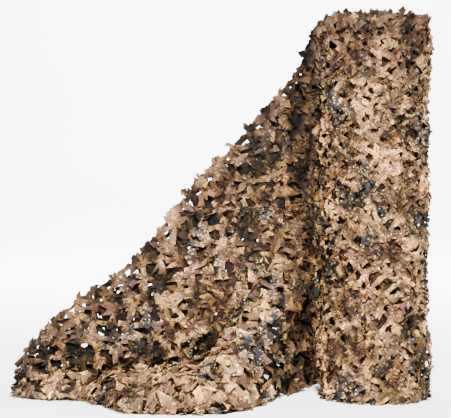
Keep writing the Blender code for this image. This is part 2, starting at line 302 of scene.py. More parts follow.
class DrapedSurface(Surface):
    """The free length's surface: sections across the cloth, joined by a smooth curve, with soft folds.

    The cloth's columns are then traced on it from the upper selvedge. Each sets out leaning back towards the
    roll, half-way to square with the selvedge, and turns upright again within a few hands' breadths. Lengths
    are in metres, and (u, v) are shares of the sheet along and across it.
    """

    # The sheet's grid, and how its sections lie.
    ACROSS = 361
    ALONG = 401
    FLOOR = 0.0016
    SAG = 0.02
    BULGE = 0.06

    # The traced columns: eight lines to a column, in short steps down, and a fifth past the free end.
    LINES = 8
    STEP = 0.005
    LEAST_STEP = 0.0025
    BEYOND = 0.20
    BEYOND_STEP = 0.03
    SQUARE = 0.50
    SQUARE_FROM = Ramp(0.0, 0.35)
    UPRIGHT = 0.35
    LEAN_SPAN = 0.06
    HOLLOW_SPAN = 0.06
    EDGE_STEP = 0.015
    LEAST_PITCH = 0.035
    MOST_SLANT = 0.08
    FIRST_COLUMN = -0.4
    START_RUN = 0.35

    # How the cut lies open, by the distance from the roll's side and by the share v.
    ROLL_SIDE = -0.218
    PAST_LOBE = Ramp(0.42, 0.25)
    SHUT_FROM = 0.50
    SHUT_SOONER = 0.14
    SHUT_OVER = 0.18
    MOST_SHUT = 0.5

    # The light: by the distance from the roll's side, by how far down the cloth it is, and in the crease.
    CORNER_START = 0.02
    CORNER_RUN = 0.30
    CORNER_SHORTER = 0.06
    CORNER_LOW = Ramp(0.6, 0.3)
    CORNER_LIGHT = 0.14
    TUCKED_IN = Ramp(-0.02, 0.04)
    TUCKED_LIGHT = 1.2
    PILE = Ramp(0.5, 0.2)
    FAR = Ramp(0.40, 0.12)
    FAR_SLOPE = Ramp(0.45, 0.3)
    DIMMED = 0.14
    CREASE_HEIGHT = 0.165
    CREASE_WIDTH = 0.035
    CREASE_DARK = 0.45
    HOLLOW = Ramp(0.0, 0.8)
    HOLLOW_DARK = 0.40
    HOLLOW_DARKER = 0.42

    def __init__(self, columns: int, start: tuple[float, float]) -> None:
        """Works the surface out once, as a fine grid that everything is read from.

        Args:
            columns: How many columns of crossings its upper selvedge has.
            start: How far in from the upper selvedge the ply starts, at the roll and farther out.
        """
        self.columns = columns
        self.start = start
        lines = np.array([self.section_line(row, self.ACROSS) for row in SECTIONS])
        middle = along_line(lines[:, self.ACROSS // 2])
        base = self.through(lines, middle / middle[-1], np.linspace(0.0, 1.0, self.ALONG))
        lift = self.folds(middle[-1])
        self.sheet = base + self.normals_of(base) * lift[..., None]
        self.trace()
        self.measure()

    @staticmethod
    def section_line(row: Section, count: int) -> Array:
        """One section's line: a B-spline whose control points are set out by shares of the section's sizes.

        Args:
            row: The section.
            count: How many points to return.

        Returns:
            The points from the upper selvedge to the end of the turned-under edge.
        """
        floor = DrapedSurface.FLOOR
        crease_z = row.lip_z - row.dip
        profile = [(row.top_y, row.top_z)]
        for share in (0.25, 0.5, 0.75):
            sag = DrapedSurface.SAG * math.sin(math.pi * share)
            y = row.top_y + (row.lip_y - row.top_y) * share + sag
            profile.append((y, row.top_z + (row.lip_z - row.top_z) * share))
        back_y = row.lip_y + 0.30 * row.dip
        front_y = row.lip_y - 0.15 * row.dip
        rise = 0.6 * (row.crest_z - crease_z)
        profile += [
            (row.lip_y, row.lip_z + 0.15 * row.dip),
            (row.lip_y, row.lip_z - 0.15 * row.dip),
            (back_y, row.lip_z - 0.55 * row.dip),
            (back_y, crease_z),
            (front_y, crease_z),
            (front_y + (row.crest_y - front_y) * 0.6, crease_z + rise),
            (row.crest_y, row.crest_z),
        ]
        crest_run = row.edge_y + 0.3 * row.swell - row.crest_y
        for share in (0.35, 0.7):
            bulge = DrapedSurface.BULGE * abs(crest_run) * math.sin(math.pi * share)
            fall = row.swell - row.crest_z
            profile.append((row.crest_y + crest_run * share, row.crest_z + fall * share + bulge))
        profile += [
            (row.edge_y + 0.15 * row.swell, row.swell),
            (row.edge_y, 0.45 * row.swell),
            (row.edge_y + 0.25 * row.swell, floor),
        ]
        profile += [(row.edge_y + share * row.tuck, floor) for share in (0.5, 0.8, 1.0)]
        last = len(profile) - 1
        reach = row.edge_x - row.top_x
        points = [(row.top_x + reach * k / last, y, z) for k, (y, z) in enumerate(profile)]
        return DrapedSurface.b_spline(points, count)

    @staticmethod
    def b_spline(points: list[Place], count: int) -> Array:
        """A uniform cubic B-spline with tripled ends, at even distances along it.

        Args:
            points: Its control points.
            count: How many points to return.

        Returns:
            The points of the curve.
        """
        samples = 400
        control = np.array([points[0], points[0], *points, points[-1], points[-1]])
        at = np.linspace(0.0, len(control) - 3 - 1e-9, samples)
        i = at.astype(int)
        t = (at - i)[:, None]
        a, b, c, d = (control[i + k] for k in range(4))
        line = (1 - t) ** 3 * a + (3 * t**3 - 6 * t**2 + 4) * b
        line = (line + (-3 * t**3 + 3 * t**2 + 3 * t + 1) * c + t**3 * d) / 6
        length = along_line(line)
        even = np.linspace(0.0, length[-1], count)
        return np.stack([np.interp(even, length, line[:, k]) for k in range(3)], axis=1)

    @staticmethod
    def through(values: Array, knots: Array, at: Array) -> Array:
        """A smooth curve along the first axis: cubics whose slopes at the knots are the local differences.

        Args:
            values: The values at the knots, along the first axis.
            knots: Where those values are.
            at: Where to read the curve.

        Returns:
            The curve's values.
        """
        slopes = np.gradient(values, knots, axis=0)
        i = np.clip(np.searchsorted(knots, at, side="right") - 1, 0, len(knots) - 2)
        step = (knots[i + 1] - knots[i])[:, None, None]
        t = ((at - knots[i]) / (knots[i + 1] - knots[i]))[:, None, None]
        start = (2 * t**3 - 3 * t**2 + 1) * values[i] + (t**3 - 2 * t**2 + t) * step * slopes[i]
        return start + (-2 * t**3 + 3 * t**2) * values[i + 1] + (t**3 - t**2) * step * slopes[i + 1]

    def folds(self, length: float) -> Array:
        """Adds up the folds: each is a bell across its run, highest half-way along it.

        Args:
            length: The sheet's length along its middle, in metres.

        Returns:
            Their height over the grid.
        """
        end_share = 0.3
        u = np.linspace(0.0, 1.0, self.ALONG)[:, None]
        v = np.linspace(0.0, 1.0, self.ACROSS)[None, :]
        total = np.zeros((self.ALONG, self.ACROSS))
        for fold in FOLDS:
            start = np.array([fold.u0 * length, fold.v0 * CLOTH_WIDTH])
            run = np.array([fold.u1 * length, fold.v1 * CLOTH_WIDTH]) - start
            du = u * length - start[0]
            dv = v * CLOTH_WIDTH - start[1]
            share = np.clip((du * run[0] + dv * run[1]) / (run @ run), 0.0, 1.0)
            away = np.hypot(du - share * run[0], dv - share * run[1])
            swell = end_share + (1.0 - end_share) * np.sin(math.pi * share) ** 2
            total += fold.height * swell * np.exp(-((away / fold.width) ** 2))
        return total

    @staticmethod
    def normals_of(points: Array) -> Array:
        """Unit normals of a grid of points: the cross product of its two directions."""
        normal = np.cross(np.gradient(points, axis=0), np.gradient(points, axis=1))
        return normal / np.maximum(np.linalg.norm(normal, axis=-1, keepdims=True), 1e-12)

    @staticmethod
    def read(grid: Array, u: Array, v: Array) -> Array:
        """Reads a grid between its points, evenly from each to the next.

        Args:
            grid: The grid, with one value or more at each point.
            u: Where along its first axis to read it, as a share.
            v: Where along its second axis to read it, as a share.

        Returns:
            The values there.
        """
        rows, columns = grid.shape[:2]
        x = np.clip(u, 0.0, 1.0) * (rows - 1)
        y = np.clip(v, 0.0, 1.0) * (columns - 1)
        i = np.minimum(x.astype(int), rows - 2)
        j = np.minimum(y.astype(int), columns - 2)
        s = (x - i)[(...,) + (None,) * (grid.ndim - 2)]
        t = (y - j)[(...,) + (None,) * (grid.ndim - 2)]
        near = grid[i, j] * (1 - t) + grid[i, j + 1] * t
        far = grid[i + 1, j] * (1 - t) + grid[i + 1, j + 1] * t
        return near * (1 - s) + far * s

    def sheet_at(self, u: Array, v: Array) -> Array:
        """Places on the bare sheet, carried on straight past its free end.

        Args:
            u: The share of the sheet along it, which may be over 1.
            v: The share of the sheet across it.

        Returns:
            The places.
        """
        point = self.read(self.sheet, u, v)
        over = np.maximum(u - 1.0, 0.0)[..., None] / self.BEYOND_STEP
        return point + over * (point - self.read(self.sheet, np.minimum(u, 1.0) - self.BEYOND_STEP, v))

    def trace(self) -> None:
        """Traces the columns over the sheet in short steps, all of them at once.

        A step slips towards the roll by the share slip * exp(-a / UPRIGHT) of its length, where a is the
        distance from the selvedge. Its part straight down the sheet makes its length up to one step, and is
        never under LEAST_STEP.
        """
        towards = np.gradient(self.sheet, axis=0) * (self.ALONG - 1)
        down = np.gradient(self.sheet, axis=1) * (self.ACROSS - 1)
        length = along_line(self.sheet[:, 0])
        even = np.linspace(0.0, 1.0 + self.BEYOND, int(self.LINES * self.columns * (1.0 + self.BEYOND)) + 1)
        known = length / length[-1]
        u = np.where(even < 1.0, np.interp(even, known, np.linspace(0.0, 1.0, self.ALONG)), even)
        v = np.zeros_like(u)
        slip = self.slip(towards, down, u)
        places, shares, depths = [], [], []
        for k in range(int(CLOTH_WIDTH / self.STEP) + 1):
            places.append(self.sheet_at(u, v))
            shares.append(u)
            depths.append(v)
            e_u = self.read(towards, u, v)
            e_v = self.read(down, u, v)
            size_u = np.linalg.norm(e_u, axis=-1)
            size_v = np.linalg.norm(e_v, axis=-1)
            cosine = (e_u * e_v).sum(axis=-1) / (size_u * size_v)
            moved = self.STEP * slip * math.exp(-k * self.STEP / self.UPRIGHT)
            rest = np.maximum(self.STEP**2 - moved**2 * (1.0 - cosine**2), self.LEAST_STEP**2)
            u = u - moved / size_u
            v = v + (cosine * moved + np.sqrt(rest)) / size_v
        self.points = np.stack(places, axis=1)
        self.shares = np.stack(shares, axis=1)
        self.depths = np.stack(depths, axis=1)

    def slip(self, towards: Array, down: Array, u: Array) -> Array:
        """How steeply each column sets out towards the roll.

        The selvedge meets the sections at an angle, whose cosine is averaged over a short span either way.
        The slip is the share SQUARE of that angle's cotangent, and none at the roll itself.

        Args:
            towards: The sheet's direction along it, over its grid.
            down: The sheet's direction down it, over its grid.
            u: Where along the selvedge the columns set out.

        Returns:
            The slip of each column, as a share of a step.
        """
        sizes = np.linalg.norm(towards, axis=-1), np.linalg.norm(down, axis=-1)
        cosine = (towards * down).sum(axis=-1) / sizes[0] / sizes[1]
        running = np.cumsum(cosine[:, :1], axis=0) * np.ones(2)
        selvedge = np.zeros_like(u)
        ahead = self.read(running, u + self.LEAN_SPAN, selvedge)
        behind = self.read(running, u - self.LEAN_SPAN, selvedge)
        lean = (ahead - behind) / (2 * self.LEAN_SPAN * self.ALONG)
        return self.SQUARE * lean / np.sqrt(1.0 - lean**2) * self.SQUARE_FROM.at(u)

    def measure(self) -> None:
        """Measures the traced columns: their normals, slants, pitches, drifts and hollows.

        The way from a column to the next has a part down the column, its slant, and a part square to it, its
        pitch. The drift adds up the mean slant of the columns from an eighth to half of the way out. A hollow
        is how far a column bows towards its normal from a span above to a span below, as a share of the span.
        """
        self.normals = self.normals_of(self.points)
        one_column = np.gradient(self.points, axis=0) * self.LINES
        down = np.gradient(self.points, axis=1)
        down = down / np.maximum(np.linalg.norm(down, axis=2, keepdims=True), 1e-9)
        self.slants = (one_column * down).sum(axis=2)
        self.pitches = np.sqrt(np.maximum((one_column**2).sum(axis=2) - self.slants**2, 0.0))
        count = len(self.points)
        sheared = slice(count // 8, count // 2)
        rate = self.slants[sheared].mean(axis=0) / (one_column[sheared] ** 2).sum(axis=2).mean(axis=0)
        self.drifts = np.cumsum(rate) * self.STEP
        k = int(self.HOLLOW_SPAN / self.STEP)
        beyond = np.pad(self.points, ((0, 0), (k, k), (0, 0)), mode="edge")
        bowed = beyond[:, 2 * k :] + beyond[:, : -2 * k] - 2.0 * self.points
        self.hollows = (bowed * self.normals).sum(axis=2) / self.HOLLOW_SPAN

    def traced(self, grid: Array, column: Array, across: Array) -> Array:
        """Reads a traced grid by column and by metres across."""
        return self.read(grid, column / (self.columns * (1.0 + self.BEYOND)), across / CLOTH_WIDTH)

    def pitch(self, column: Array, across: Array) -> Array:
        """How far apart the columns are pulled there, square to them."""
        return np.maximum(self.traced(self.pitches, column, across), self.LEAST_PITCH)

    def slant(self, column: Array, across: Array) -> Array:
        """How far a row runs down the columns from one column to the next."""
        return np.clip(self.traced(self.slants, column, across), -self.MOST_SLANT, self.MOST_SLANT)

    def drift(self, across: Array) -> Array:
        """How many columns a line drawn square to the rows has slipped by at that depth."""
        return np.interp(across, self.STEP * np.arange(len(self.drifts)), self.drifts)

    def away(self, column: Array, across: Array) -> Array:
        """How far a place is from the roll's side, along the slope."""
        return self.ROLL_SIDE - self.traced(self.points, column, across)[..., 0]

    def opened(self, column: Array, across: Array) -> Array:
        """How far the cut is pulled open there: it lies half shut in the pile, and on the lobe above it.

        Args:
            column: How many columns along.
            across: How far down from the upper selvedge, in metres.

        Returns:
            The openness, from 0 to 1.
        """
        lobe = 1.0 - self.PAST_LOBE.at(self.away(column, across))
        pile = Ramp(self.SHUT_FROM - self.SHUT_SOONER * lobe, self.SHUT_OVER)
        return 1.0 - self.MOST_SHUT * pile.at(self.traced(self.depths, column, across))

    def lit(self, column: Array, across: Array) -> Array:
        """The share of the light that reaches there: the product of five shares.

        They are the corner beside the roll, which is light again behind its side, the far slope, the near
        pile, the crease and the hollows.

        Args:
            column: How many columns along.
            across: How far down from the upper selvedge, in metres.

        Returns:
            The share of the light, which is over 1 where the near pile is the lightest.
        """
        away = self.away(column, across)
        run = self.CORNER_RUN - self.CORNER_SHORTER * self.CORNER_LOW.at(across)
        corner = self.CORNER_LIGHT + (1.0 - self.CORNER_LIGHT) * Ramp(self.CORNER_START, run).at(away)
        light = corner + self.TUCKED_LIGHT * (1.0 - self.TUCKED_IN.at(away))
        slope = 1.0 - self.PILE.at(self.traced(self.depths, column, across))
        far = self.FAR.at(away)
        light = light * (1.0 - self.DIMMED * slope * self.FAR_SLOPE.at(away))
        light = light * (1.0 + self.DIMMED * (1.0 - slope) * (1.0 - far))
        height = self.traced(self.points, column, across)[..., 2]
        band = np.exp(-(((height - self.CREASE_HEIGHT) / self.CREASE_WIDTH) ** 2))
        light = light * (1.0 - self.CREASE_DARK * far * band * slope)
        hollow = self.HOLLOW.at(self.traced(self.hollows, column, across))
        return light * (1.0 - (self.HOLLOW_DARK + self.HOLLOW_DARKER * far) * hollow)

    def inside(self, column: Array, across: Array) -> Array:
        """Whether the cloth reaches there: past where its ply starts, up to its free end and lower edge.

        Args:
            column: How many columns along.
            across: How far down from the upper selvedge, in metres.

        Returns:
            True where it does.
        """
        at_roll, farther = self.start
        start = at_roll + (farther - at_roll) * ease(column / (self.START_RUN * self.columns))
        share = self.traced(self.shares, column, across)
        depth = self.traced(self.depths, column, across)
        return (across >= start) & (share <= 1.0) & (depth <= 1.0) & (column >= self.FIRST_COLUMN)

    def place(self, column: Array, across: Array, lift: Array) -> Array:
        """The places, carried on straight past the selvedge and the first column, and above the floor.

        Args:
            column: How many columns along.
            across: How far down from the upper selvedge, in metres.
            lift: How far off the surface, in metres.

        Returns:
            The places.
        """
        points = self.traced(self.points, column, across)
        points = points + self.traced(self.normals, column, across) * lift[..., None]
        over = np.minimum(across, 0.0)[..., None] / self.EDGE_STEP
        first = self.traced(self.points, column, 0 * across)
        points += over * (self.traced(self.points, column, 0 * across + self.EDGE_STEP) - first)
        over = np.minimum(column, 0.0)[..., None]
        first = self.traced(self.points, 0 * column, across)
        points += over * (self.traced(self.points, 0 * column + 1.0, across) - first)
        points[..., 2] = np.maximum(points[..., 2], FLOOR_CLEAR)
        return points


@dataclass(frozen=True)
class WoundSurface(Surface):
    """The turns of the roll: a spiral wall, wider at its foot, that ends where the cloth leaves it."""

    radius: float = 0.2075
    taper: float = 0.007
    lump: float = 0.005
    lumps: tuple[tuple[float, float, float], ...] = ((2.0, 5.0, 0.0), (3.0, -3.1, 1.0))
    turn_gap: float = 0.013
    leave_angle: float = math.radians(115.0)
    column_run: float = 0.065
    top: float = CLOTH_WIDTH - 0.021
    splay: float = 0.016
    splay_height: float = 0.06
    out_of_corner: Ramp = Ramp(3.3, 1.2)
    corner_light: float = 0.15
    below_rim: Ramp = Ramp(0.06, 0.25)
    rim_light: float = 0.86

    def pitch(self, column: Array, across: Array) -> Array:
        """How far apart the columns are there: the same all along, but for the wall's taper and lumps."""
        return self.column_run * self.radius_at(column, across) / self.spiral(column)

    def lit(self, column: Array, across: Array) -> Array:
        """The share of the light that reaches there: less beside the loose end, and near the rim."""
        corner = self.corner_light + (1.0 - self.corner_light) * self.out_of_corner.at(-column)
        return corner * (self.rim_light + (1.0 - self.rim_light) * self.below_rim.at(across))

    def turned(self, column: Array) -> Array:
        """The angle wound back from the leaving point, from the length of the spiral up to a column.

        A spiral whose radius falls evenly with its angle has the length R*t - g*t^2/(4 pi) up to the angle t,
        which is solved for t.

        Args:
            column: How many columns along, below 0.

        Returns:
            The angle, in radians.
        """
        length = -np.asarray(column, float) * self.column_run
        fall = self.turn_gap / (2 * math.pi)
        inner = np.maximum(self.radius**2 - 2 * fall * length, 1e-6)
        return (self.radius - np.sqrt(inner)) / fall

    def spiral(self, column: Array) -> Array:
        """The bare spiral's radius at a column."""
        return self.radius - self.turn_gap * self.turned(column) / (2 * math.pi)

    def columns_to(self, radius: float) -> int:
        """How many columns the spiral holds from the leaving point in to a radius."""
        return int(math.pi * (self.radius**2 - radius**2) / self.turn_gap / self.column_run)

    def radius_at(self, column: Array, across: Array) -> Array:
        """The spiral's radius with the wall's taper, two slow lumps that wind down it and a splayed foot.

        Args:
            column: How many columns along.
            across: How far down from the upper selvedge, in metres.

        Returns:
            The radius, in metres.
        """
        angle = self.angle_at(column)
        lump = sum(np.sin(waves * angle + climb * across + start) for waves, climb, start in self.lumps)
        foot = across / CLOTH_WIDTH
        splay = self.splay * ease((across - CLOTH_WIDTH + self.splay_height) / self.splay_height)
        share = self.spiral(column) / self.radius
        return self.spiral(column) + share * (self.taper * foot + 0.5 * self.lump * lump + splay)

    def angle_at(self, column: Array) -> Array:
        """The angle round the roll, turning back from where the cloth leaves it."""
        return self.leave_angle - self.turned(column)

    def place(self, column: Array, across: Array, lift: Array) -> Array:
        """The places on the spiral wall, pushed outwards by the lift and kept above the floor.

        Args:
            column: How many columns along.
            across: How far down from the upper selvedge, in metres.
            lift: How far off the wall, in metres.

        Returns:
            The places.
        """
        angle = self.angle_at(column)
        radius = self.radius_at(column, across) + lift
        height = np.maximum(self.top - across + 0 * radius, FLOOR_CLEAR)
        return np.stack([radius * np.cos(angle), radius * np.sin(angle), height], axis=-1)


# ------------------------------------------------------------------ the cut
class Draw(IntEnum):
    """Which table of random values each thing is drawn from, counted on from the ply's seed."""

    COLUMN = 0
    ACROSS = 1
    WANDER_ALONG = 2
    WANDER_ACROSS = 3
    STRAY = 4
    LENGTH = 5
    NECK = 6
    NECK_TWIST = 7
    WIDTH = 8
    BEND = 9
    TWIST = 10
    HOOK = 11
    WAIST = 12
    WAIST_LIFT = 13
    CENTRE_LIFT = 14
    CREASE = 15
    PUCKER = 16
    TONE = 17
    PATCH = 18
    REVERSE = 19
    TINT = 20


@dataclass(frozen=True)
class Ply:
    """How one ply of the cloth is laid.

    Args:
        seed: Which run of the cloth it is.
        row: How far apart its rows of crossings are pulled, in metres.
        size: How large its blades are, as a share of the cut's own sizes.
        puff: How much of the full lift its blades have.
        behind: How far it lies under the surface, in metres.
        shut: How nearly shut its cut lies at the least, from 0 to 1.
        light: How much light reaches it.
        relief: How strongly its hollows are shaded.
    """

    seed: int
    row: float
    size: float
    puff: float = 1.0
    behind: float = 0.0
    shut: float = 0.0
    light: float = 1.0
    relief: float = 1.0


@dataclass(frozen=True)
class LeafCut:
    """The die-cut lattice of the cloth, opened: webs that meet in stars, with free leaves between them.

    The crossings of the webs are staggered from row to row, and each is tied to its four neighbours by a web
    with a narrow neck half-way. Sizes are in metres, angles in radians, and the rest are shares.
    """

    # The crossings, and how far chance moves them: less at the selvedge, and more across the cloth.
    pitch: float = 0.080
    hem: float = 0.10
    jitter: float = 0.22
    hem_jitter: float = 0.3
    more_across: float = 1.4
    wander: float = 0.015
    wander_cell: float = 0.08

    # The webs: how far from the crossing two blades part, half widths at the middle and at the neck, and how
    # the strip along the selvedge and the torn webs above it differ.
    waist: float = 0.0175
    web: float = 0.0120
    neck: float = 0.0085
    neck_spread: float = 0.5
    strip_web: float = 1.2
    strip_neck: float = 1.4
    torn_web: float = 0.85
    torn_spread: float = 0.45

    # The leaves, which are mostly short, shorter where they stand up past the selvedge, and slender if short.
    leaf: float = 0.0165
    leaf_length: float = 0.062
    least_leaf: float = 0.28
    full_leaf: float = 0.85
    rim_leaf: float = 0.75
    mostly_short: float = 1.6
    slender_below: float = 0.024
    stray: float = 0.35
    hook: float = 0.35

    # All blades: where their middles are, how much their widths vary, and how they bend, twist and rise. None
    # is quite straight, because the arc's formula divides by the bend.
    middle: float = 0.55
    spread: float = 0.3
    bend: float = 1.1
    bend_mean: float = 0.35
    straight: tuple[float, float] = (1e-4, 1e-3)
    twist: float = 0.7
    lift: float = 0.007
    neck_rise: float = 1.4
    crumple: float = 0.0065
    crumple_cell: float = 0.036
    pucker: float = 0.014
    pucker_cell: float = 0.09

    # Where the cut is shut: blades are broader, calmer and straighter, and only their tips rise.
    shut_broader: float = 0.6
    shut_calmer: float = 1.7
    shut_straighter: float = 0.8
    shut_crossing: float = -0.008
    shut_neck: float = -0.012
    shut_tip: float = 0.016


@dataclass(frozen=True)
class Shading:
    """How light the cut cloth is at each point, and where its bare reverse shows.

    Lifts, cells and distances from the selvedge are in metres, and the rest are shares.
    """

    # How high a point counts at no lift, the lift that counts as one, and how the light grows with height.
    level: float = 0.45
    full_lift: float = 0.018
    deepest: float = 0.07
    relief_power: float = 0.7
    most: float = 1.4

    # How it varies from blade to blade, less at their roots, and from patch to patch.
    tone: float = 0.85
    tone_spread: float = 0.55
    root_spread: float = 0.5
    patch_spread: float = 0.4
    patch_cell: float = 0.045

    # Painted shade by the upper selvedge, and how flat the shut cut lies and how much painted light it gets.
    light_off_selvedge: float = 0.95
    selvedge_shade_fade: Ramp = Ramp(0.08, 0.20)
    selvedge_shade_strength: float = 0.34
    shut_flatter: float = 0.8
    shut_lighter: float = 0.6

    # How many blades have turned over, how many more at the selvedge, and how bare the selvedge itself is.
    unturned: float = 0.45
    turned_over: Ramp = Ramp(0.0, 0.2)
    turned_most: float = 0.9
    turned_more: float = 0.6
    turned_run: float = 0.12
    bare: float = 0.5
    bare_run: float = 0.25


class LaidCut:
    """A run of the cut cloth on a surface, as arrays over its rows, crossings and the eight blades of each.

    The blades round a crossing are numbered in turn from the one that points along the cloth: the even ones
    are leaves, and the odd ones webs. In the first row the two along the cloth are webs too, as a strip at
    the selvedge. Each blade is three rows of three points: its root, from one waist over the crossing to the
    next waist; its middle; and its end. A web ends in the neck that it shares with the next web, and a leaf
    in its tip.
    """

    BLADES = 8
    ROW = 3
    POINTS = ROW * ROW
    SHADING = Shading()

    def __init__(
        self, cut: LeafCut, surface: Surface, run: tuple[float, float], reach: float, ply: Ply
    ) -> None:
        """Numbers the blades and works out their courses, their forms and their points.

        Args:
            cut: The cloth's cut.
            surface: What the cloth lies on.
            run: Where along the cloth it is laid, in columns.
            reach: How far down from the upper selvedge it is laid, in metres.
            ply: How this ply is laid.
        """
        self.cut, self.surface, self.ply = cut, surface, ply
        self.pitch = ply.size * cut.pitch
        slipped = float(surface.drift(np.array(reach)))
        self.i = np.arange(int(run[0]), int(round(run[1] + slipped)) + 1)[None, :, None]
        self.j = np.arange(int(round(reach / ply.row)))[:, None, None]
        self.k = np.arange(self.BLADES)[None, None, :]
        first, odd = self.j == 0, self.k % 2 == 1
        self.strip = first & (self.k % 4 == 0)
        self.web = odd | self.strip
        self.edge = first & odd & (self.k > 4)
        self.tied = self.web & ~self.edge
        self.head()
        self.grow()
        self.set_out()

    def by_chance(self, draw: Draw) -> Array:
        """A random number from -1 to 1 for each blade."""
        return 2.0 * chance(self.BLADES * self.j + self.k, self.i, self.ply.seed + draw) - 1.0

    def crossing(self, i: Array, j: Array) -> tuple[Array, Array]:
        """Where two webs cross: on a staggered lattice, moved by chance and by slow noise.

        Args:
            i: The crossing's number along its row.
            j: Its row's number.

        Returns:
            Its column, in pitches, and its place across in metres.
        """
        cut, seed = self.cut, self.ply.seed
        column = i + 0.5 * (j % 2) + cut.jitter * (2.0 * chance(i, j, seed + Draw.COLUMN) - 1.0)
        loose = np.where(j == 0, cut.hem_jitter, 1.0)
        moved = cut.more_across * cut.jitter * loose * (2.0 * chance(i, j, seed + Draw.ACROSS) - 1.0)
        across = self.ply.row * (j + cut.hem + moved)
        x, y = across / cut.wander_cell, column * self.pitch / cut.wander_cell
        wandered = cut.wander / self.pitch * soft_noise(x, y, seed + Draw.WANDER_ALONG)
        column = column + wandered - self.surface.drift(across)
        across = across + loose * cut.wander * soft_noise(x, y, seed + Draw.WANDER_ACROSS)
        return column, across

    def head(self) -> None:
        """Finds where the blades set out and head: webs for their neighbours, and leaves between two webs.

        A blade is turned from its even eighth of the circle. A web's length holds half-way to its neighbour,
        and its two random numbers are shared by both webs of a neck.
        """
        i, j, k, seed = self.i, self.j, self.k, self.ply.seed
        column, across = self.crossing(i, j)
        step_i = np.where(self.strip, 1 - k // 2, np.where((k == 1) | (k == 7), 0, -1) + j % 2)
        step_j = np.where(self.strip, 0, np.where(k < 4, 1, -1))
        to_column, to_across = self.crossing(i + step_i, j + step_j)
        half_way = 0.5 * (column + to_column), 0.5 * (across + to_across)
        self.pulled, self.slanted = self.surface.pitch(*half_way), self.surface.slant(*half_way)
        away_along = 0.5 * (to_column - column) * self.pulled
        away_across = 0.5 * (to_across - across + (to_column - column) * self.slanted)
        even = k * math.pi / 4
        turn = np.arctan2(
            away_across * np.cos(even) - away_along * np.sin(even),
            away_along * np.cos(even) + away_across * np.sin(even),
        )
        between = 0.5 * (np.roll(turn, 1, axis=2) + np.roll(turn, -1, axis=2))
        turn = np.where(self.web, turn, between + self.cut.stray * self.by_chance(Draw.STRAY))
        pair = 2 * i + step_i, 2 * j + step_j
        self.neck = chance(*pair, seed + Draw.NECK)
        self.neck_twist = np.where(k < 4, 1.0, -1.0) * (2.0 * chance(*pair, seed + Draw.NECK_TWIST) - 1.0)
        self.column, self.across = column, across
        self.hold = np.hypot(away_along, away_across)
        self.angle = even + turn
        self.to_next = 0.5 * (turn + np.roll(turn, -1, axis=2)) + even + math.pi / 8

    def lengths(self) -> Array:
        """The blades' lengths: a web's reaches its neck, and a leaf's is drawn by chance, mostly short.

        The webs that are torn at the selvedge vary too. The leaves that stand up past it are shorter, and
        those that reach into the first holes are full-grown.

        Returns:
            The length of each blade.
        """
        cut, j, k = self.cut, self.j, self.k
        drawn = self.by_chance(Draw.LENGTH)
        hold = np.where(self.edge, self.hold * (cut.torn_web + cut.torn_spread * drawn), self.hold)
        longest = self.ply.size * cut.leaf_length
        share = cut.least_leaf + (1.0 - cut.least_leaf) * (0.5 + 0.5 * drawn) ** cut.mostly_short
        grown = longest * share
        grown = np.where((j == 0) & (k == 6), cut.rim_leaf * grown, grown)
        grown = np.where((j <= 1) & (k == 2 + 4 * j), np.maximum(grown, cut.full_leaf * longest), grown)
        return np.where(self.web, hold, grown)

    def grow(self) -> None:
        """Draws the blades' sizes: where the cut lies shut they are broader, flatter and hardly twisted."""
        cut, size, web, tied, by_chance = self.cut, self.ply.size, self.web, self.tied, self.by_chance
        self.length = self.lengths()
        shut = np.maximum(1.0 - self.surface.opened(self.column, self.across), self.ply.shut)
        rough = 1.0 - cut.shut_calmer * shut
        half = np.where(web, cut.web, cut.leaf * np.minimum(self.length / cut.slender_below, 1.0))
        half = half * (1.0 + cut.spread * by_chance(Draw.WIDTH))
        half = size * (1.0 + cut.shut_broader * shut) * half
        self.half = half * np.where(self.strip, cut.strip_web, 1.0)
        end = size * cut.neck * (1.0 - 0.5 * cut.neck_spread + cut.neck_spread * self.neck) * (1.0 + shut)
        self.end = np.where(tied, end * np.where(self.strip, cut.strip_neck, 1.0), 0.0)
        bend = cut.bend_mean + (1.0 - cut.bend_mean) * by_chance(Draw.BEND)
        bend = (1.0 - cut.shut_straighter * shut) * cut.bend * bend
        self.bend = np.where(tied, cut.straight[0], bend + cut.straight[1])
        self.twist = rough * cut.twist * by_chance(Draw.TWIST)
        self.end_twist = np.where(web, self.neck_twist * cut.twist, self.twist)
        self.hook = np.where(web, 0.0, cut.hook * by_chance(Draw.HOOK))
        self.waist = size * cut.waist * (1.0 + cut.spread * by_chance(Draw.WAIST))
        self.waist_lift = rough * cut.lift * by_chance(Draw.WAIST_LIFT)
        raised = 2.0 * chance(self.i, self.j, self.ply.seed + Draw.CENTRE_LIFT) - 1.0
        self.centre_lift = rough * cut.lift * raised + cut.shut_crossing * shut
        neck_lift = cut.neck_rise * cut.lift * (2.0 * self.neck - 1.0) + cut.shut_neck * shut
        self.end_lift = np.where(tied, neck_lift, cut.shut_tip * shut)
        self.shut = shut[..., None]
        self.rough = rough[..., None]

    def root(self, hand: int) -> tuple[Array, ...]:
        """One point of each blade's root: the waist on one hand, the crossing, or the waist on the other.

        Args:
            hand: -1, 0 or 1.

        Returns:
            Its flat and bent places along and across, and its height, all from the crossing.
        """
        shift = 1 if hand < 0 else 0
        out = np.roll(self.waist, shift, axis=2) * abs(hand)
        heading = np.roll(self.to_next, shift, axis=2)
        raised = np.roll(self.waist_lift, shift, axis=2) if hand else self.centre_lift
        along, across = out * np.cos(heading), out * np.sin(heading)
        return along, across, along, across, self.ply.puff * raised

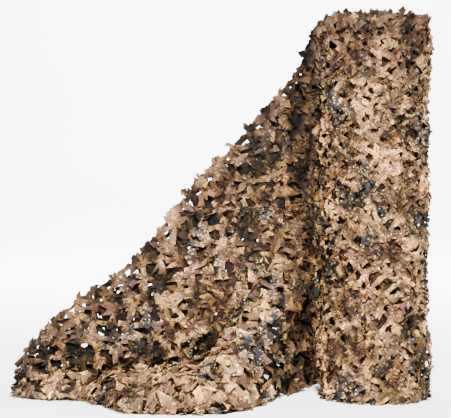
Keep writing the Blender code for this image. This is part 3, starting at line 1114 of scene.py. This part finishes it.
    def outer(self, share: float, hand: int) -> tuple[Array, ...]:
        """One point of each blade's middle or end, on an arc of the blade's length and bend.

        Its height is the arc's, with shares of the crossing's and the end's lifts, and its half width is
        turned by the twist. Laid flat it is at the same share of the straight length.

        Args:
            share: How far out along the blade it is, 1 at the end.
            hand: -1, 0 or 1.

        Returns:
            Its flat and bent places along and across, and its height, all from the crossing.
        """
        puff, angle = self.ply.puff, self.angle
        half, twist = (self.end, self.end_twist) if share == 1.0 else (self.half, self.twist)
        wide = hand * half
        swerve = share**2 * self.hook * self.length
        arc = puff * self.bend * share
        out = self.length * np.sin(arc) / (puff * self.bend)
        raised = self.length * (1.0 - np.cos(arc)) / (puff * self.bend) + share * self.end_lift
        raised = raised + (1.0 - share) * self.centre_lift + wide * np.sin(puff * twist)
        over = swerve + wide * np.cos(puff * twist)
        ahead, beside = share * self.length, swerve + wide
        return (
            ahead * np.cos(angle) - beside * np.sin(angle),
            ahead * np.sin(angle) + beside * np.cos(angle),
            out * np.cos(angle) - over * np.sin(angle),
            out * np.sin(angle) + over * np.cos(angle),
            puff * raised,
        )

    def set_out(self) -> None:
        """Places the nine points of each blade: bent, crumpled by sharp noise and puckered by slow noise."""
        cut, ply, hands = self.cut, self.ply, (-1, 0, 1)
        rows = [self.root(hand) for hand in hands]
        rows += [self.outer(share, hand) for share in (cut.middle, 1.0) for hand in hands]
        blank = 0.0 * self.length
        stacked = (np.stack([value + blank for value in values], axis=-1) for values in zip(*rows))
        flat_along, flat_across, along, across, lift = stacked
        near = np.arange(self.POINTS) < 2 * self.ROW
        at = self.column, self.across
        pull = np.where(near, self.surface.pitch(*at)[..., None], self.pulled[..., None])
        slant = np.where(near, self.surface.slant(*at)[..., None], self.slanted[..., None])
        column, from_across = self.column[..., None], self.across[..., None]
        self.cloth = np.stack([from_across + flat_across, column * self.pitch + flat_along], axis=-1)
        self.columns = column + along / pull
        self.depths = from_across + across - along / pull * slant
        crease = self.noise(creased_noise, cut.crumple_cell, Draw.CREASE)
        lift = lift + ply.puff * self.rough * cut.crumple * crease
        self.lift = lift + ply.puff * cut.pucker * self.noise(soft_noise, cut.pucker_cell, Draw.PUCKER)

    def noise(self, kind: Callable[[Array, Array, int], Array], cell: float, draw: Draw) -> Array:
        """Noise over the points.

        Args:
            kind: The noise's function.
            cell: The size of its cells, in metres.
            draw: Which draw it is.

        Returns:
            The noise at each point.
        """
        return kind(self.depths / cell, self.columns * self.pitch / cell, self.ply.seed + draw)

    def marks(self) -> dict[str, Array]:
        """The painted light and shade, the bared reverse and the tint of each point.

        The painted light grows with the point's lift, differs from blade to blade and from patch to patch, is
        darkened by painted shade near the upper selvedge, is lightened by painted light where the cut is
        shut, and takes the surface's own share of painted light and shade. A blade that turned over by chance
        shows its reverse beyond its root, and more of them have turned at the selvedge.

        Returns:
            The values, by the names of their attributes.
        """
        look, ply, shut, depths = self.SHADING, self.ply, self.shut, self.depths
        root = np.arange(self.POINTS) < self.ROW
        height = np.clip(look.level + self.lift / (look.full_lift * ply.puff), 0.0, 1.0)
        tone = look.tone_spread * self.by_chance(Draw.TONE)[..., None] * np.where(root, look.root_spread, 1.0)
        patch = 1.0 + look.patch_spread * self.noise(soft_noise, look.patch_cell, Draw.PATCH)
        relief = ply.relief * (1.0 - look.shut_flatter * shut)
        shade = ply.light * (look.deepest + relief**look.relief_power * height**relief)
        shade = shade * (look.tone + tone) * patch
        # Painted shade darkens the cloth near the upper selvedge, and painted light lightens it where the cut
        # is shut.
        under_selvedge_shade = 1.0 - look.selvedge_shade_fade.at(depths)
        shade = shade * (look.light_off_selvedge - look.selvedge_shade_strength * under_selvedge_shade) * (1.0 + look.shut_lighter * shut)
        at_edge = look.turned_more * np.exp(-((depths / look.turned_run) ** 2))
        turned = self.by_chance(Draw.REVERSE)[..., None] - look.unturned + at_edge
        reverse = look.turned_over.at(turned) * np.where(root, 0.0, look.turned_most)
        return {
            "shade": np.minimum(shade * self.surface.lit(self.columns, depths), look.most),
            "reverse": np.maximum(reverse, look.bare * np.exp(-((depths / look.bare_run) ** 2))),
            "tint": self.by_chance(Draw.TINT)[..., None] + 0.0 * shade,
        }

    def mesh(self, name: str) -> bpy.types.Object:
        """Makes the run's object, of the quads that the surface's cloth reaches.

        Args:
            name: The piece's name.

        Returns:
            The linked object.
        """
        points = self.surface.place(self.columns, self.depths, self.lift - self.ply.behind)
        blade = grid_quads(self.ROW, self.ROW)[:, ::-1]
        first = self.POINTS * np.arange(self.columns.size // self.POINTS)
        quads = (blade[None] + first[:, None, None]).reshape(-1, 4)
        reached = self.surface.inside(self.columns, self.depths).ravel()
        quads = quads[reached[quads].all(axis=1)]
        return cloth_mesh(name, points.reshape(-1, 3), quads, self.cloth.reshape(-1, 2), self.marks())


# ------------------------------------------------------------------ finishes
def linear(code: str) -> tuple[float, float, float, float]:
    """A hex sRGB colour as linear light: each channel through the sRGB curve.

    Args:
        code: The colour, as "#RRGGBB".

    Returns:
        Its linear red, green, blue and full alpha.
    """
    channels = [int(code[k : k + 2], 16) / 255 for k in (1, 3, 5)]
    curved = [c / 12.92 if c <= 0.04045 else ((c + 0.055) / 1.055) ** 2.4 for c in channels]
    return (*curved, 1.0)


def node(
    tree: bpy.types.NodeTree,
    kind: str,
    settings: dict[str | int, Any] | None = None,
    links: dict[str | int, Socket] | None = None,
) -> bpy.types.Node:
    """Adds a shader node with its settings and links.

    Args:
        tree: The material's node tree.
        kind: The node's type name.
        settings: Values by name or number: a property's where the node has it, and else an input's.
        links: Output sockets by the name or number of the input that they feed.

    Returns:
        The node.
    """
    made = tree.nodes.new(kind)
    for name, value in (settings or {}).items():
        if isinstance(name, str) and hasattr(made, name):
            setattr(made, name, value)
        else:
            made.inputs[name].default_value = value
    for name, socket in (links or {}).items():
        tree.links.new(socket, made.inputs[name])
    return made


class Print(Enum):
    """The colours of the print, by what they cover, and of the cloth's bare reverse."""

    SAND = "#A27945"
    TAN = "#76573B"
    BROWN = "#4C3729"
    OLIVE = "#433D2C"
    CHARCOAL = "#232425"
    FLECK = "#CAA268"
    REVERSE = "#553D30"


class Patch(NamedTuple):
    """One colour of the print, laid over the rest where its noise and its pixels' scatter pass a limit."""

    colour: Print
    cell_mm: float
    detail: float
    seed: float
    scatter: float
    limit: float


PATCH_MM = 95.0
PATCHES = (
    #     colour      cell mm       detail seed scatter limit
    Patch(Print.SAND, PATCH_MM / 1.3, 2.0, 3.1, 0.16, 0.52),
    Patch(Print.BROWN, PATCH_MM, 2.0, 11.7, 0.16, 0.58),
    Patch(Print.FLECK, 26.0, 1.0, 5.3, 0.16, 0.66),
    Patch(Print.OLIVE, PATCH_MM / 0.62, 3.0, 21.4, 0.08, 0.567),
    Patch(Print.CHARCOAL, PATCH_MM / 0.62, 3.0, 21.4, 0.08, 0.588),
)


class Tint(NamedTuple):
    """How a colour channel takes the shade, to a power, and the tint, by its swing either way."""

    channel: str
    power: float
    swing: float


# Hollows are a little warmer than the lit cloth, because the light in them has been through it.
TINTS = (Tint("Green", 1.03, 0.04), Tint("Blue", 1.08, -0.10))

# The numbers of a mix node's two colour inputs, and of its colour output.
MIX_UNDER, MIX_OVER, MIXED = 6, 7, 2


@dataclass(frozen=True)
class PrintedPolyester:
    """Thin woven polyester, printed with a pixel-edged camouflage: matt, with a faint sheen on its curls.

    The weave is drawn several times as coarse as its real threads, so that it shows at all.
    """

    name: str = "printed_polyester"
    pixel_mm: float = 5.0
    weave_mm: float = 1000.0 / 420.0
    weave_height_mm: float = 1.5
    weave_strength: float = 0.35
    patch_roughness: float = 0.6
    lone_pixels: float = 0.94
    roughness: float = 0.75
    specular: float = 0.09

    def build(self) -> bpy.types.Material:
        """Builds the material on the cloth coordinates: the print under the shade, and the weave as bump.

        Returns:
            The material.
        """
        material = bpy.data.materials.new(self.name)
        material.use_nodes = True
        tree = material.node_tree
        shader = tree.nodes["Principled BSDF"]
        cloth = node(tree, "ShaderNodeUVMap", {"uv_map": "cloth"}).outputs["UV"]
        colour = self.shaded(tree, self.printed(tree, cloth))
        tree.links.new(colour, shader.inputs["Base Color"])
        shader.inputs["Roughness"].default_value = self.roughness
        shader.inputs["Specular IOR Level"].default_value = self.specular
        threads = {"Scale": 1000 / self.weave_mm, "Detail": 2.0}
        weave = node(tree, "ShaderNodeTexNoise", threads, {"Vector": cloth}).outputs["Fac"]
        raised = {"Strength": self.weave_strength, "Distance": self.weave_height_mm / 1000}
        bump = node(tree, "ShaderNodeBump", raised, {"Height": weave})
        tree.links.new(bump.outputs["Normal"], shader.inputs["Normal"])
        return material

    def printed(self, tree: bpy.types.NodeTree, cloth: Socket) -> Socket:
        """The print: the cloth coordinates snapped to pixels, cut into patches of colour by noise.

        Each pixel's own random value is added to the noise before it is cut, so that the patches' edges break
        up into scattered pixels. The highest random values are lone pale pixels.

        Args:
            tree: The material's node tree.
            cloth: The cloth coordinates.

        Returns:
            The print's colour.
        """
        pixel = self.pixel_mm / 1000
        snap = {"operation": "SNAP", 1: (pixel,) * 3}
        snapped = node(tree, "ShaderNodeVectorMath", snap, {0: cloth}).outputs[0]
        half_on = {"operation": "ADD", 1: (0.5 * pixel,) * 3}
        middle = node(tree, "ShaderNodeVectorMath", half_on, {0: snapped}).outputs[0]
        loose = node(tree, "ShaderNodeTexWhiteNoise", {"noise_dimensions": "2D"}, {"Vector": middle})
        loose = loose.outputs["Value"]
        colour: Socket | None = None
        for patch in PATCHES:
            shift = {"operation": "ADD", 1: (patch.seed, patch.seed * 0.7, patch.seed)}
            moved = node(tree, "ShaderNodeVectorMath", shift, {0: snapped}).outputs[0]
            grain = {"Scale": 1000 / patch.cell_mm, "Detail": patch.detail, "Roughness": self.patch_roughness}
            noise = node(tree, "ShaderNodeTexNoise", grain, {"Vector": moved}).outputs["Fac"]
            spread = {"operation": "MULTIPLY_ADD", 1: patch.scatter, 2: -0.5 * patch.scatter}
            scattered = node(tree, "ShaderNodeMath", spread, {0: loose}).outputs[0]
            both = node(tree, "ShaderNodeMath", {"operation": "ADD"}, {0: noise, 1: scattered}).outputs[0]
            colour = self.paint(tree, colour, both, patch.limit, patch.colour)
        return self.paint(tree, colour, loose, self.lone_pixels, Print.FLECK)

    @staticmethod
    def paint(
        tree: bpy.types.NodeTree, under: Socket | None, value: Socket, limit: float, colour: Print
    ) -> Socket:
        """Lays one colour of the print over the rest, where the value is over the limit.

        Args:
            tree: The material's node tree.
            under: The colour beneath, or none over the print's own ground, which is tan.
            value: What is compared with the limit.
            limit: The limit.
            colour: The colour that is laid.

        Returns:
            The new colour.
        """
        mask = node(tree, "ShaderNodeMath", {"operation": "GREATER_THAN", 1: limit}, {0: value}).outputs[0]
        both = {"data_type": "RGBA", MIX_UNDER: linear(Print.TAN.value), MIX_OVER: linear(colour.value)}
        mix = node(tree, "ShaderNodeMix", both, {0: mask})
        if under is not None:
            tree.links.new(under, mix.inputs[MIX_UNDER])
        return mix.outputs[MIXED]

    @staticmethod
    def shaded(tree: bpy.types.NodeTree, colour: Socket) -> Socket:
        """The print with the cloth's reverse where it is turned over, and the shade and tint of its points.

        Args:
            tree: The material's node tree.
            colour: The print's colour.

        Returns:
            The shaded colour.
        """
        reverse = node(tree, "ShaderNodeAttribute", {"attribute_name": "reverse"}).outputs["Fac"]
        bare = {"data_type": "RGBA", MIX_OVER: linear(Print.REVERSE.value)}
        turned = node(tree, "ShaderNodeMix", bare, {0: reverse, MIX_UNDER: colour}).outputs[MIXED]
        shade = node(tree, "ShaderNodeAttribute", {"attribute_name": "shade"}).outputs["Fac"]
        tint = node(tree, "ShaderNodeAttribute", {"attribute_name": "tint"}).outputs["Fac"]
        tinted = node(tree, "ShaderNodeCombineColor", {}, {"Red": shade})
        for channel, power, swing in TINTS:
            held = node(tree, "ShaderNodeMath", {"operation": "POWER", 1: power}, {0: shade}).outputs[0]
            swung = {"operation": "MULTIPLY_ADD", 1: swing, 2: 1.0}
            warmth = node(tree, "ShaderNodeMath", swung, {0: tint}).outputs[0]
            both = node(tree, "ShaderNodeMath", {"operation": "MULTIPLY"}, {0: held, 1: warmth}).outputs[0]
            tree.links.new(both, tinted.inputs[channel])
        fully = {"data_type": "RGBA", "blend_type": "MULTIPLY", 0: 1.0}
        shades = {MIX_UNDER: turned, MIX_OVER: tinted.outputs[0]}
        return node(tree, "ShaderNodeMix", fully, shades).outputs[MIXED]


# ------------------------------------------------------------------ the pieces
def settle(item: bpy.types.Object, material: bpy.types.Material, replaced: str) -> None:
    """Dresses a finished piece, hides the part that it stands for, hangs it on the root and logs its faces.

    Args:
        item: The piece.
        material: Its material.
        replaced: The node that it stands for.
    """
    item.data.materials.append(material)
    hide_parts(replaced)
    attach(item, "root")
    LOG.info("%s: %d faces", item.name, len(item.data.polygons))


def flat_area(item: bpy.types.Object) -> float:
    """The area of a piece laid flat, from its faces' corners in cloth coordinates, by the shoelace formula.

    Args:
        item: The piece.

    Returns:
        The area, in square metres.
    """
    loops = len(item.data.loops)
    corners = np.empty(2 * loops, np.float32)
    item.data.uv_layers["cloth"].data.foreach_get("uv", corners)
    start = np.empty(len(item.data.polygons), np.int32)
    item.data.polygons.foreach_get("loop_start", start)
    x, y = corners.reshape(-1, 2).T.astype(float)
    following = np.arange(1, loops + 1)
    following[np.append(start[1:], loops) - 1] = start
    twice = x * y[following] - x[following] * y
    return float(0.5 * np.abs(np.add.reduceat(twice, start)).sum())


def declare(item: bpy.types.Object, width: float, length: float) -> None:
    """Works out what a sheet was cut from: its width, and the length that its webs and leaves need between
    them. The length is not kept or reported.

    Args:
        item: The sheet.
        width: The cloth's width, in metres.
        length: The least length that it can have, in metres.
    """
    most_covered = 0.95
    area = flat_area(item)
    length = max(length, area / (most_covered * width))


class Layer(NamedTuple):
    """One ply of the free length: its columns, how far in from the upper selvedge it starts, and its lie."""

    name: str
    columns: int
    start: tuple[float, float]
    ply: Ply


@dataclass(frozen=True)
class LooseEnd:
    """The free length of the netting, drawn out from the roll in a slope down to its pile on the floor.

    It lies in three plies. The two beneath start a little way in from the upper selvedge, in the shade of the
    first, and the innermost lies nearly flat and shut.
    """

    layers: tuple[Layer, ...] = (
        Layer("loose_netting", 22, (-1.0, -1.0), Ply(11, 0.057, 1.14, puff=1.15, relief=1.7)),
        Layer("under_netting", 23, (0.022, 0.018), Ply(31, 0.055, 1.14, puff=0.8, behind=0.014, light=0.16)),
        Layer(
            "inner_netting",
            24,
            (0.045, 0.040),
            Ply(37, 0.050, 1.14, puff=-0.45, behind=0.018, shut=0.8, light=0.35),
        ),
    )

    def build(self, cut: LeafCut, material: bpy.types.Material) -> None:
        """Lays the plies of the free length on its draped surface, each with its own run of the cloth.

        Args:
            cut: The cloth's cut.
            material: The cloth's material.
        """
        for name, columns, start, ply in self.layers:
            surface = DrapedSurface(columns, start)
            last = columns * (1.0 + surface.BEYOND)
            laid = LaidCut(cut, surface, (0.0, last), CLOTH_WIDTH, ply).mesh(name)
            settle(laid, material, "loose_end")
            declare(laid, CLOTH_WIDTH, last * cut.pitch * ply.size)


@dataclass(frozen=True)
class Roll:
    """The wound part: two outer turns of cut cloth, the wound turns at its top, and a dark body beneath.

    The body's darkness is painted shade, all over.
    """

    surface: WoundSurface = WoundSurface()
    turn_columns: int = 20
    top_band: float = 0.14
    core: float = 0.035
    outer_ply: Ply = Ply(51, 0.035, 0.86)
    second_ply: Ply = Ply(71, 0.033, 0.86, puff=0.7, behind=-0.004, light=0.31)
    wound_ply: Ply = Ply(91, 0.035, 0.86, puff=0.3, light=0.8)
    body_inset: float = 0.010
    body_overlap: float = 0.02
    body_lump: float = 0.004
    body_cell: float = 0.03
    body_seed: int = 77
    # The body's painted shade: its cloth is painted this dark all over.
    body_shade: float = 0.12

    def build(self, cut: LeafCut, material: bpy.types.Material) -> None:
        """Lays the outer turns and the turns at the top, and builds the body beneath them.

        Args:
            cut: The cloth's cut.
            material: The cloth's material.
        """
        count = self.turn_columns
        wound = self.surface.columns_to(self.core)
        runs = (
            ("outer_turn", (-count, 0), CLOTH_WIDTH, self.outer_ply),
            ("second_turn", (-2 * count, -count), CLOTH_WIDTH, self.second_ply),
            ("wound_turns", (-wound, -2 * count), self.top_band, self.wound_ply),
        )
        for name, run, reach, ply in runs:
            turn = LaidCut(cut, self.surface, run, reach, ply).mesh(name)
            settle(turn, material, "roll")
            declare(turn, reach, (run[1] - run[0] + 1) * cut.pitch * ply.size)
        settle(self.body(), material, "roll")

    def body(self) -> bpy.types.Object:
        """The turns beneath: a closed lumpy wall under the second turn, with a flat foot and a sunk top.

        Its outline goes from the foot's middle out to the wall, up, and in again, carried round the axis. The
        wall's radius varies with soft noise over the angle and the height, and least where the ends meet.

        Returns:
            The linked object.
        """
        around, rings, wall_rings, waves = 96, 8, 50, 32
        middle, rim, foot = 0.01, 0.97, 0.001
        wall = self.surface.radius - 2.0 * self.surface.turn_gap - self.body_inset
        top = self.surface.top - self.top_band + self.body_overlap
        height = [np.full(rings, foot), np.linspace(foot, top, wall_rings), np.full(rings, top)]
        height = np.concatenate(height)[:, None]
        reach = [np.linspace(middle, rim, rings), np.ones(wall_rings), np.linspace(rim, middle, rings)]
        reach = np.concatenate(reach)[:, None]
        angle = np.linspace(0.0, 2 * math.pi, around + 1)[None]
        rough = soft_noise((angle * (waves / 2) / math.pi) % waves, height / self.body_cell, self.body_seed)
        rough = rough * np.sin(angle / 2) ** 0.5
        radius = reach * (wall + self.body_lump * rough)
        points = np.stack([radius * np.cos(angle), radius * np.sin(angle), height + 0 * radius], axis=-1)
        quads = grid_quads(*points.shape[:2])[:, ::-1]
        cloth = np.stack(np.broadcast_arrays(CLOTH_WIDTH - points[..., 2], -angle * wall), axis=-1)
        # Painted shade: the whole body is painted dark, as the shaded turns inside the roll.
        shade = np.full(points.shape[:2], self.body_shade)
        marks = {"shade": shade, "reverse": 0 * shade, "tint": 0 * shade}
        return cloth_mesh("inner_turns", points.reshape(-1, 3), quads, cloth.reshape(-1, 2), marks)


# ------------------------------------------------------------------ the studio
class Lamp(NamedTuple):
    """A soft square lamp: where it stands and what it faces, its power in watts, and its side in metres."""

    name: str
    at: Place
    towards: Place
    power: float
    side: float


@dataclass(frozen=True)
class Studio:
    """A plain pale floor and backdrop, a key light high in front, a fill from the left, and the camera."""

    camera_at: Place = (-0.581, -6.0, 1.10)
    camera_pitch: float = math.radians(3.46)
    lens_mm: float = 122.4
    sensor_mm: float = 36.0
    lamps: tuple[Lamp, ...] = (
        Lamp("key", (-0.15, -4.3, 4.2), (-0.55, 0.0, 0.6), 2180.0, 0.6),
        Lamp("fill", (-2.6, -5.6, 1.9), (-0.55, 0.0, 0.6), 240.0, 1.6),
        Lamp("wash", (-0.5, 4.2, 5.0), (-0.5, 8.6, 0.2), 3600.0, 4.0),
    )
    sky_colour: tuple[float, ...] = (1.0, 0.86, 0.72, 1.0)
    sky_strength: float = 0.08
    floor_colour: str = "#F4F4F4"
    floor_roughness: float = 0.9
    floor_half: float = 11.0
    backdrop: tuple[tuple[float, float], ...] = (
        (-11.0, 0.0),
        (7.5, 0.0),
        (9.0, 0.25),
        (9.8, 1.2),
        (10.0, 3.0),
        (10.0, 7.0),
    )

    def build(self) -> None:
        """Builds the floor, the lamps, the sky and the camera."""
        self.floor()
        for lamp in self.lamps:
            self.light(lamp)
        world = bpy.data.worlds.new("studio")
        world.use_nodes = True
        sky = world.node_tree.nodes["Background"]
        sky.inputs["Color"].default_value = self.sky_colour
        sky.inputs["Strength"].default_value = self.sky_strength
        bpy.context.scene.world = world
        camera = bpy.data.objects.new("camera", bpy.data.cameras.new("camera"))
        camera.data.lens = self.lens_mm
        camera.data.sensor_width = self.sensor_mm
        camera.location = self.camera_at
        camera.rotation_euler = (math.pi / 2 - self.camera_pitch, 0.0, 0.0)
        bpy.context.scene.collection.objects.link(camera)
        bpy.context.scene.camera = camera

    def floor(self) -> None:
        """A floor of matt painted board, which shows no gloss, curved up into the backdrop."""
        points = [(x, y, z) for y, z in self.backdrop for x in (-self.floor_half, self.floor_half)]
        faces = [(2 * k, 2 * k + 1, 2 * k + 3, 2 * k + 2) for k in range(len(self.backdrop) - 1)]
        mesh = bpy.data.meshes.new("floor")
        mesh.from_pydata(points, [], faces)
        mesh.shade_smooth()
        item = bpy.data.objects.new("floor", mesh)
        bpy.context.scene.collection.objects.link(item)
        material = bpy.data.materials.new("painted_board")
        material.use_nodes = True
        shader = material.node_tree.nodes["Principled BSDF"]
        shader.inputs["Base Color"].default_value = linear(self.floor_colour)
        shader.inputs["Roughness"].default_value = self.floor_roughness
        mesh.materials.append(material)

    @staticmethod
    def light(lamp: Lamp) -> None:
        """Sets up one lamp, turned towards what it faces.

        Args:
            lamp: The lamp.
        """
        area = bpy.data.lights.new(lamp.name, "AREA")
        area.energy = lamp.power
        area.size = lamp.side
        item = bpy.data.objects.new(lamp.name, area)
        item.location = lamp.at
        item.rotation_euler = (Vector(lamp.towards) - Vector(lamp.at)).to_track_quat("-Z", "Y").to_euler()
        bpy.context.scene.collection.objects.link(item)


def main() -> None:
    """Builds every piece in order."""
    logging.basicConfig(level=logging.INFO, format="%(name)s: %(message)s")
    material = PrintedPolyester().build()
    cut = LeafCut()
    LooseEnd().build(cut, material)
    Roll().build(cut, material)
    Studio().build()


if __name__ == "__main__":
    main()
